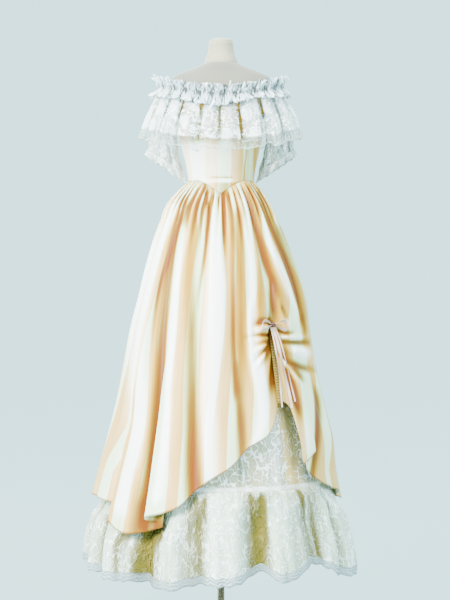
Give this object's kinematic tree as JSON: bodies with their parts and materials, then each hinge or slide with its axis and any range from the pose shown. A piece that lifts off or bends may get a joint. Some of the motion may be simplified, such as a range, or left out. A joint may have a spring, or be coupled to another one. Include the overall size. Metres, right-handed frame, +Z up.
{
  "type": "off-shoulder satin gown on a limbless dress form and stand",
  "caption": "Floor-length striped satin gown with lace bertha, drawn-up overskirt and lace-flounced underskirt, worn by a limbless dress form on a pole stand",
  "frame": {"origin": "on the floor at the centre of the round base's underside, below the pole", "axes": "+Z up along the pole, -Y the gown's front, +X to the right as seen from the front"},
  "size_m": [0.8219, 0.8163, 1.728],
  "materials": {
    "striped_satin": "smooth satin in peach and ivory stripes",
    "white_lace": "sheer floral lace",
    "cream_lining": "matte cream lining",
    "peach_ribbon": "narrow satin ribbon",
    "form_cloth": "tight cream cotton jersey",
    "stand_steel": "polished"
  },
  "bodies": {
    "root": {"form_torso": "form_cloth", "form_neck": "form_cloth", "stand_pole": "stand_steel", "stand_base": "stand_steel", "bodice_front": "striped_satin", "bodice_side_front_left": "striped_satin", "bodice_side_front_right": "striped_satin", "bodice_back_left": "striped_satin", "bodice_back_right": "striped_satin", "back_placket": "striped_satin", "overskirt_front": "striped_satin", "overskirt_back": "striped_satin", "drawstring_casing": "striped_satin", "drawstring_knot": "peach_ribbon", "drawstring_loop_left": "peach_ribbon", "drawstring_loop_right": "peach_ribbon", "drawstring_tail_wide": "peach_ribbon", "drawstring_tail_left": "peach_ribbon", "drawstring_tail_right": "peach_ribbon", "neck_ruffle": "white_lace", "bertha_flounce": "white_lace", "sleeve_left": "white_lace", "sleeve_right": "white_lace", "sleeve_frill_left": "white_lace", "sleeve_frill_right": "white_lace", "underskirt_lace": "white_lace", "underskirt_lining": "cream_lining", "flounce_lace": "white_lace", "flounce_lining": "cream_lining", "lace_tie_left": "white_lace", "lace_tie_right": "white_lace"}
  },
  "joints": []
}
